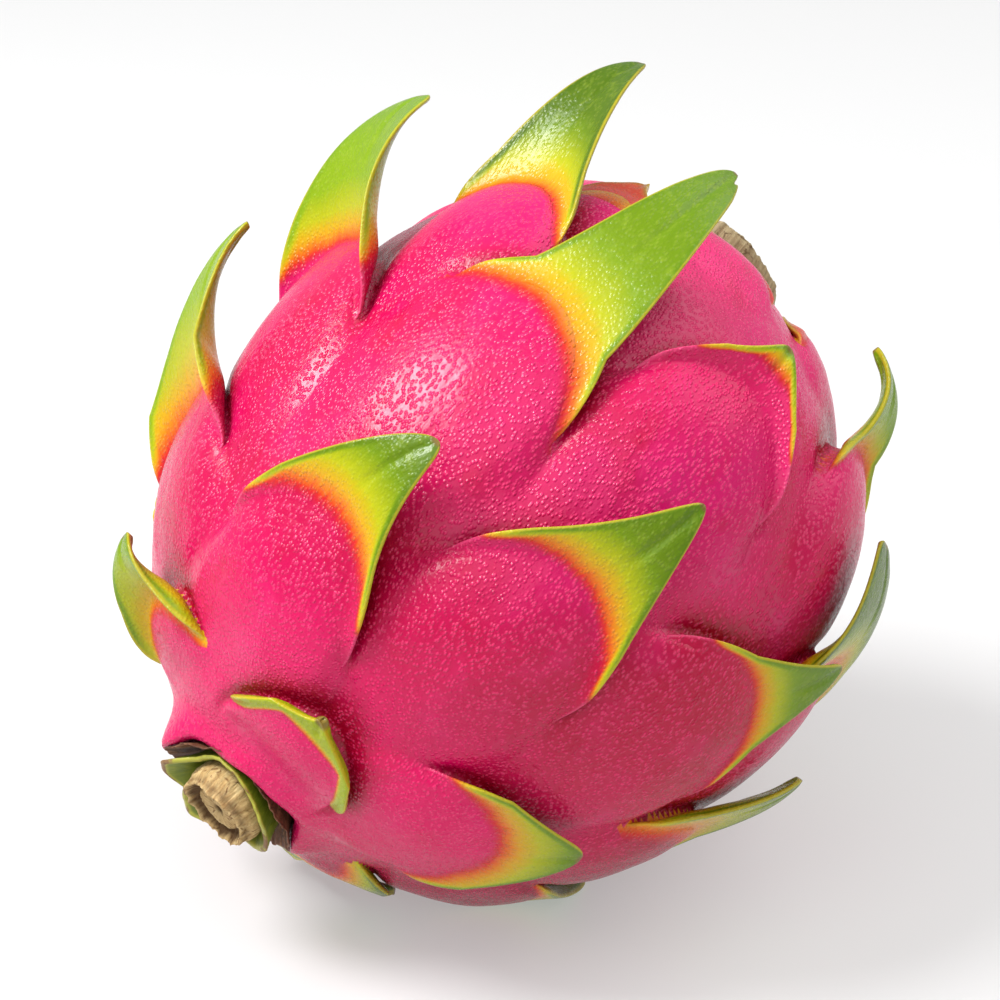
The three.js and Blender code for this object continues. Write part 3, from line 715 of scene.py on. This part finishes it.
def rind_material():
    n = Nodes("rind")
    place = n.place()
    # The fruit's own axes, with the grain drawn out along the first of them.
    along = n.node("ShaderNodeMapping", {
        "Vector": place, "Rotation": (0, -PITCH, 0), "Scale": (1 / GRAIN_DRAWN_OUT, 1, 1),
    }, vector_type="TEXTURE").outputs["Vector"]
    wander = n.noise(WANDER_SCALE, 3, place)
    patch = n.noise(PATCH_SCALE, 3, along, 0.6)
    fine = n.noise(FINE_SCALE, 2, along)
    grains = n.cells(GRAIN_SCALE, along)
    veins_place = n.node("ShaderNodeCombineXYZ", {
        "X": n.value("across"), "Y": n.math("MULTIPLY", n.value("ahead"), 0.1), "Z": wander,
    }).outputs["Vector"]
    veins = n.noise(2.6, 3, veins_place, 0.6)
    veined_edge = n.math("MULTIPLY", n.math("SUBTRACT", veins, 0.5), 0.3)
    patchy_edge = n.math("MULTIPLY", n.math("SUBTRACT", patch, 0.5), 0.4)
    ripe = n.math("ADD", n.value("ripe"), veined_edge)
    ripe = n.math("ADD", ripe, patchy_edge)
    # Pale grains in the skin, partly their own colour and partly painted glints on them.
    dots = n.math("MULTIPLY", n.span(grains, 0.54, 0.2), n.span(fine, 0.28, 0.5))
    pink = pink_colour(n, place, along, wander, patch)
    pink = n.mix(n.math("MULTIPLY", dots, 0.4), pink, GRAIN_AND_GLINT_PINK)
    # Painted sheen: the thin edges of the wings are drawn pale where they are still pink.
    pink = n.mix(n.span(n.value("rim"), 0.4, 0.1, 0.0, 0.35), pink, EDGE_SHEEN_PINK)
    colour = n.mix(n.span(ripe, -0.75, -0.3), pink, leaf_colour(n, ripe, fine, dots))
    # Painted shade down in the pit: near black.
    colour = n.mix(n.value("pit"), colour, PIT_PAINTED_SHADE)
    n.link(colour, n.shader.inputs["Base Color"])
    # A leathery skin: small raised grains over soft wrinkles, and veins along the leaves.
    wrinkles = n.noise(WRINKLE_SCALE, 3, along, 0.65)
    skin = n.bump(wrinkles, WRINKLE_DEPTH, 0.4)
    off_leaf = n.span(ripe, -0.5, 0.6, 1.0, 0.4)
    grain_height = n.math("MULTIPLY", n.span(grains, 0.6, 0.08), off_leaf)
    skin = n.bump(grain_height, GRAIN_DEPTH, 0.9, skin)
    veined = n.math("MULTIPLY", veins, n.span(ripe, -0.3, 0.6))
    skin = n.bump(veined, VEIN_DEPTH, 0.35, skin)
    n.link(skin, n.shader.inputs["Normal"])
    n.link(n.span(fine, 0.2, 0.8, 0.22, 0.3), n.shader.inputs["Roughness"])
    n.shader.inputs["Specular IOR Level"].default_value = 0.3
    return n.material


def woody_material(name, stops, scale, depth, roughness=0.85):
    """Dry matter: its colour runs over long fibres, with small cracks and specks."""
    n = Nodes(name)
    place = n.place()
    fibres = n.node("ShaderNodeCombineXYZ", {
        "X": n.value("round"), "Y": n.math("MULTIPLY", n.value("down"), 0.18), "Z": 0.0,
    }).outputs["Vector"]
    grain = n.noise(scale, 5, fibres, 0.65)
    specks = n.noise(1100, 3, place, 0.6)
    cracks = n.span(n.cells(420, place, feature="DISTANCE_TO_EDGE"), 0.0, 0.09, 1.0, 0.0)
    tone = n.math("ADD", n.math("MULTIPLY", grain, 0.65), n.math("MULTIPLY", specks, 0.35))
    colour = n.ramp(tone, stops)
    dark = stops[0][1]
    colour = n.mix(n.math("MULTIPLY", cracks, n.span(specks, 0.45, 0.65)), colour, dark)
    # Its own stains, with painted shade in the hollows and down in the pit.
    colour = n.mix(n.value("stain_and_shade"), colour, WOOD_STAIN_AND_SHADE)
    n.link(colour, n.shader.inputs["Base Color"])
    rough = n.bump(grain, depth, 0.9)
    rough = n.bump(specks, depth * 0.5, 0.6, rough)
    n.link(rough, n.shader.inputs["Normal"])
    n.link(n.span(specks, 0.3, 0.7, roughness - 0.1, roughness + 0.08), n.shader.inputs["Roughness"])
    n.shader.inputs["Specular IOR Level"].default_value = 0.25
    return n.material


def collar_material():
    """The green flesh round the stem: olive inside, a bright yellow-green edge."""
    n = Nodes("stem_collar")
    place = n.place()
    patch = n.noise(240, 4, place, 0.6)
    fibres = n.node("ShaderNodeCombineXYZ", {
        "X": n.value("round"), "Y": n.math("MULTIPLY", n.value("down"), 0.2), "Z": 0.0,
    }).outputs["Vector"]
    veins = n.noise(1.8, 4, fibres, 0.6)
    tone = n.math("ADD", n.math("MULTIPLY", patch, 0.6), n.math("MULTIPLY", veins, 0.4))
    green = n.ramp(tone, COLLAR_GREENS)
    green = n.mix(n.span(n.value("rim"), 0.6, 0.1, 0.0, 0.8), green, COLLAR_EDGE_GREEN)
    specks = n.math("MULTIPLY", n.span(n.value("rim"), 0.25, 0.05), n.span(patch, 0.45, 0.55))
    green = n.mix(specks, green, COLLAR_SPECKS)
    # Its own stains, with painted shade at its foot down in the pit.
    green = n.mix(n.value("stain_and_shade"), green, COLLAR_STAIN_AND_SHADE)
    n.link(green, n.shader.inputs["Base Color"])
    skin = n.bump(veins, 0.0003, 0.6)
    skin = n.bump(patch, 0.0006, 0.4, skin)
    n.link(skin, n.shader.inputs["Normal"])
    n.link(n.span(patch, 0.3, 0.7, 0.4, 0.55), n.shader.inputs["Roughness"])
    return n.material


def closed_loft(name, points, floats, material):
    """A piece from rings of points, closed by a fan at each end, as one solid."""
    rows, columns = points.shape[:2]
    ends = np.stack([points[0].mean(axis=0), points[-1].mean(axis=0)])
    count = rows * columns
    faces = quads(rows, columns, closed=True)
    for j in range(columns):
        k = (j + 1) % columns
        faces.append((count, k, j))
        faces.append((count + 1, count - columns + j, count - columns + k))
    padded = {
        key: np.concatenate([values.ravel(), [values[0].mean(), values[-1].mean()]])
        for key, values in floats.items()
    }
    piece = grid_mesh(name, np.concatenate([points.reshape(-1, 3), ends]), faces, padded)
    piece.data.materials.append(material)
    return piece


def filled_in(levels, steps):
    """The places between a table's rows, with steps to each row, and its columns there."""
    places = np.linspace(0, len(levels) - 1, (len(levels) - 1) * steps + 1)
    rows = np.arange(len(levels))
    return places, [np.interp(places, rows, column)[:, None] for column in np.array(levels).T]


def mirrored(floats):
    return {key: values[:, ::-1] for key, values in floats.items()}


def build_stem():
    """The cut stub: pith with a small hole, a frayed ring, and a fibrous side."""
    columns = 260
    angle = np.arange(columns) / columns * 2 * math.pi
    at, (radius, level, fray, fibre, stain_and_shade) = filled_in(STEM_LEVELS, 5)
    circle = 2.2 * np.stack([np.cos(angle), np.sin(angle)], -1)
    spread = np.concatenate([
        np.broadcast_to(circle, (len(at), columns, 2)),
        np.broadcast_to(0.35 * at[:, None, None], (len(at), columns, 1)),
    ], -1)
    coarse, small = noise_of(spread, 1.3, 3), noise_of(spread * [2.6, 2.6, 0.6], 1.0, 4)
    fibrous = noise_of(spread * [7, 7, 0.35], 1.0, 5)
    out = radius * (1 + 0.05 * fray * coarse) + 0.22 * fray * small + 0.16 * fibre * fibrous
    out = out * (1 + 0.04 * np.cos(2 * (angle - 0.7)))
    frayed = 0.35 * fray * coarse + 0.3 * fray * np.maximum(small, -0.4)
    points = round_stem(angle[None], np.maximum(out, 0.15), level + frayed + 0.08 * fibre * fibrous)
    dark = stain_and_shade + 0.35 * fray * (small - 0.1) + 0.25 * fibrous * fibre
    floats = {
        "round": 0 * out + angle[None] * 6.0,
        "down": at[:, None] * 0.6 + 0 * out,
        "stain_and_shade": np.clip(dark, 0, 1) * 0.9,
    }
    wood = woody_material("stem", STEM_WOODS, 1.5, 0.0005)
    return closed_loft("stem_wood", points[:, ::-1], mirrored(floats), wood)


def edge_round(angle, edge):
    """Radius and level along an edge, eased between its points."""
    at = [row[0] for row in edge]
    window = np.hanning(13)
    window /= window.sum()
    found = []
    for column in (1, 2):
        values = np.interp(np.degrees(angle), at, [row[column] for row in edge], period=360)
        wrapped = np.concatenate([values[-6:], values, values[:6]])
        found.append(np.convolve(wrapped, window, "valid"))
    return found


def build_cup(name, root, edge, thick, ragged, material, seed):
    """A wavy cup round the stem, from its foot, of a radius and a level, to its edge."""
    columns, rows = 300, 26
    angle = np.arange(columns) / columns * 2 * math.pi
    circle = np.stack([np.cos(angle), np.sin(angle), 0 * angle], -1)
    rough = noise_of(circle * 4, 1.0, seed) + 0.6 * noise_of(circle * 13, 1.0, seed + 1)
    rim_radius, rim_level = edge_round(angle, edge)
    rim_radius = rim_radius + ragged * rough
    rim_level = rim_level + ragged * np.roll(rough, 40)
    t = np.linspace(0, 1, rows)[:, None]
    radius = root[0] + (rim_radius - root[0]) * t**1.3 - 0.5 * np.sin(math.pi * t)
    level = root[1] + (rim_level - root[1]) * t
    creased = np.stack([3 * np.cos(angle) + 0 * t, 3 * np.sin(angle) + 0 * t, 0.6 * t + 0 * angle], -1)
    crease = noise_of(creased, 0.5, seed + 2)
    radius = radius + 0.75 * ragged * crease * t
    half = thick * (0.5 + 0.5 * (1 - t**4)) / 2
    outer = round_stem(angle[None], radius + half, level)
    inner = round_stem(angle[None], radius - half, level + 0.15 * half)
    points = np.concatenate([outer, inner[::-1]])
    # the last ring comes back to the first
    faces = quads(2 * rows, columns, closed=True, flip=True)
    last = (2 * rows - 1) * columns
    for j in range(columns):
        k = (j + 1) % columns
        faces.append((k, j, last + j, last + k))

    def both(values):
        whole = values + 0 * radius
        return np.concatenate([whole, whole[::-1]]).ravel()

    floats = {
        "round": both(angle[None] * 7.0),
        "down": both(t * 5),
        "rim": both((1 - t) * np.hypot(rim_radius - root[0], rim_level - root[1])),
        # Painted shade at the foot, down in the pit, and its own stain along the creases.
        "stain_and_shade": both(0.8 * (1 - smooth(0.0, 0.35, t)) + 0.25 * ragged * np.clip(crease, 0, 1)),
    }
    piece = grid_mesh(name, points.reshape(-1, 3), faces, floats)
    piece.data.materials.append(material)
    return piece


def build_scar():
    """The dried disc left by the flower: a ragged rim round a fibrous hollow."""
    columns = 320
    angle = np.arange(columns) / columns * 2 * math.pi
    _, (radius, level, stain_and_shade) = filled_in(SCAR_LEVELS, 6)
    across, over = np.cos(angle) + 0 * radius, np.sin(angle) + 0 * radius
    circle = np.stack([across, over, 0.05 * radius + 0 * angle], -1)
    coarse = noise_of(circle * [2.4, 2.4, 1], 1.0, 11)
    fibre = noise_of(circle * [15, 15, 4], 1.0, 12) + 0.5 * noise_of(circle * [34, 34, 6], 1.0, 13)
    top = (level > -0.9) * smooth(0.5, 2.5, radius)
    edge = smooth(7.5, 10, radius)
    out = radius * (1 + 0.02 * coarse * edge) + 0.08 * fibre * edge
    up = level + top * (0.24 * fibre * smooth(1.5, 5, radius) + 0.45 * coarse * edge)
    end = point_over(np.array(HALF_TOP), np.array(0.0), np.array(0.0))
    points = (
        end
        + (out * np.cos(angle))[..., None] * OVER
        - (out * np.sin(angle))[..., None] * SIDE
        + up[..., None] * AXIS
    )
    floats = {
        "round": 0 * out + angle[None] * 9.0,
        "down": radius * 0.9 + 0 * out,
        "stain_and_shade": np.clip(stain_and_shade + 0.3 * fibre * top, 0, 1) * 0.8,
    }
    dry = woody_material("scar", SCAR_WOODS, 1.8, 0.0006)
    return closed_loft("scar_disc", points[:, ::-1], mirrored(floats), dry)


rind = build_rind()
blades = [build_blade(s) for s in SCALES]
skin = rind_material()
for piece in [rind, *blades]:
    piece.data.materials.append(skin)
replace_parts(rind, "fruit")

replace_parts(build_stem(), "stem_stub")
build_cup("stem_collar", (5.9, -7.5), COLLAR_EDGE, 1.3, 0.1, collar_material(), 21)
husk = woody_material("husk", HUSK_BROWNS, 1.2, 0.0007, 0.6)
build_cup("stem_husk", (7.0, -8.5), HUSK_EDGE, 0.45, 0.34, husk, 31)
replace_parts(build_scar(), "flower_scar")


# Floor, lights and camera
def area_light(name, way, distance, size, power):
    data = bpy.data.lights.new(name, "AREA")
    data.shape = "DISK"
    data.size, data.energy = size, power
    light = bpy.data.objects.new(name, data)
    way = Vector(way).normalized()
    light.location = way * distance + Vector((0, 0, 0.05))
    light.rotation_mode = "QUATERNION"
    light.rotation_quaternion = (-way).to_track_quat("-Z", "Y")
    bpy.context.scene.collection.objects.link(light)


floor_mesh = bpy.data.meshes.new("floor")
floor_mesh.from_pydata([(-3, -3, 0), (3, -3, 0), (3, 3, 0), (-3, 3, 0)], [], [(0, 1, 2, 3)])
floor = bpy.data.objects.new("floor", floor_mesh)
bpy.context.scene.collection.objects.link(floor)
floor_nodes = Nodes("floor")
floor_nodes.shader.inputs["Base Color"].default_value = (0.42, 0.42, 0.42, 1)
floor_nodes.shader.inputs["Roughness"].default_value = 0.8
floor_nodes.shader.inputs["Emission Color"].default_value = (1, 1, 1, 1)
floor_nodes.shader.inputs["Emission Strength"].default_value = 0.34
floor_mesh.materials.append(floor_nodes.material)

world = bpy.data.worlds.new("studio")
world.use_nodes = True
world.node_tree.nodes["Background"].inputs["Color"].default_value = (1, 1, 1, 1)
world.node_tree.nodes["Background"].inputs["Strength"].default_value = 0.5
bpy.context.scene.world = world

area_light("key", (-0.5, 0.38, 0.88), 0.75, 0.33, 7.2)
area_light("front", (-0.6, -0.4, 0.9), 1.3, 1.5, 7.2)
area_light("right", (0.7, -0.35, 0.9), 1.2, 1.2, 6.5)

AZIMUTH, ELEVATION = math.radians(-45.5), math.radians(25)
LENS, SENSOR = 100.0, 36.0
PIXELS_PER_MM = 7.35  # at the middle of the axis
CENTRE_PIXEL = (488, 524)  # where the middle of the axis shows
HALF_FRAME = 500  # pixels
level_back = Vector((math.sin(AZIMUTH), -math.cos(AZIMUTH), 0))
back = level_back * math.cos(ELEVATION) + Vector((0, 0, math.sin(ELEVATION)))
right = Vector((math.cos(AZIMUTH), math.sin(AZIMUTH), 0))
up = back.cross(right)
focal_pixels = HALF_FRAME / (SENSOR / 2 / LENS)
distance = focal_pixels / PIXELS_PER_MM
place = back * distance
place -= right * (CENTRE_PIXEL[0] - HALF_FRAME) / PIXELS_PER_MM
place -= up * (HALF_FRAME - CENTRE_PIXEL[1]) / PIXELS_PER_MM
camera_data = bpy.data.cameras.new("camera")
camera_data.lens, camera_data.sensor_width = LENS, SENSOR
camera_data.clip_start = 0.01
camera = bpy.data.objects.new("camera", camera_data)
turned = Matrix((right, up, back)).transposed().to_4x4()
camera.matrix_world = Matrix.Translation((place + Vector(SHIFT)) * MM) @ turned
bpy.context.scene.collection.objects.link(camera)
bpy.context.scene.camera = camera
bpy.context.scene.view_settings.view_transform = "Standard"
